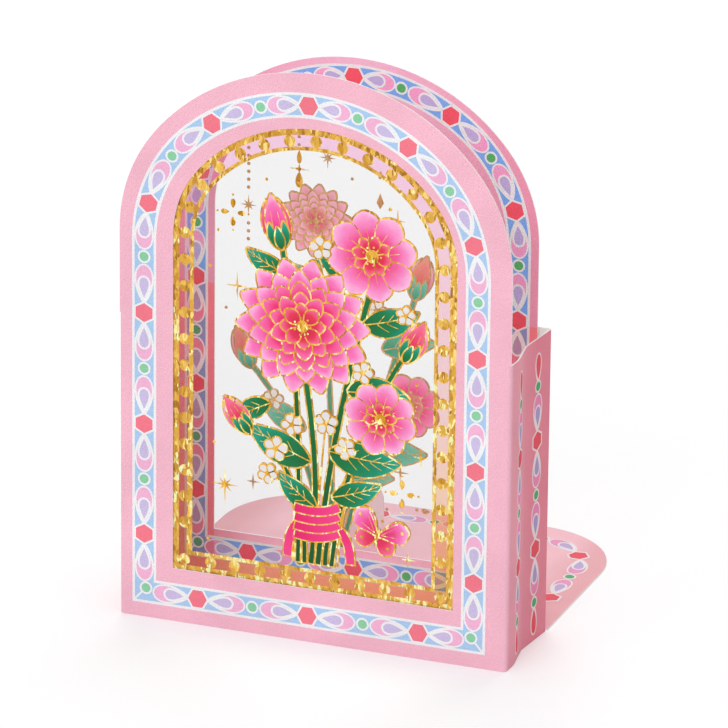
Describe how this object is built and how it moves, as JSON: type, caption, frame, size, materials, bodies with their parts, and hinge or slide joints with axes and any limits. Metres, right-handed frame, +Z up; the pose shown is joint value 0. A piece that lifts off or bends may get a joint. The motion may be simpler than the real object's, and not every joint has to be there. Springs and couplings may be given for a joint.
{
  "type": "greeting card",
  "caption": "Free-standing greeting card: arched front and back panels with clear film windows, pinched side gussets between them, and a fold-out tail with an upright tongue on it",
  "frame": {"origin": "on the table, under the middle of the card's footprint", "axes": "X across the card to the right, Y from the front panel to the back, Z up"},
  "size_m": [0.121, 0.1108, 0.1732],
  "materials": {
    "cover_card": "printed, matt, embossed",
    "front_window_film": "clear, glossy",
    "back_card": "printed, matt",
    "back_window_film": "clear, glossy",
    "tongue_card": "printed, matt"
  },
  "bodies": {
    "root": {"cover": "cover_card", "front_film": "front_window_film", "back_panel": "back_card", "back_film": "back_window_film", "tongue": "tongue_card"}
  },
  "joints": []
}
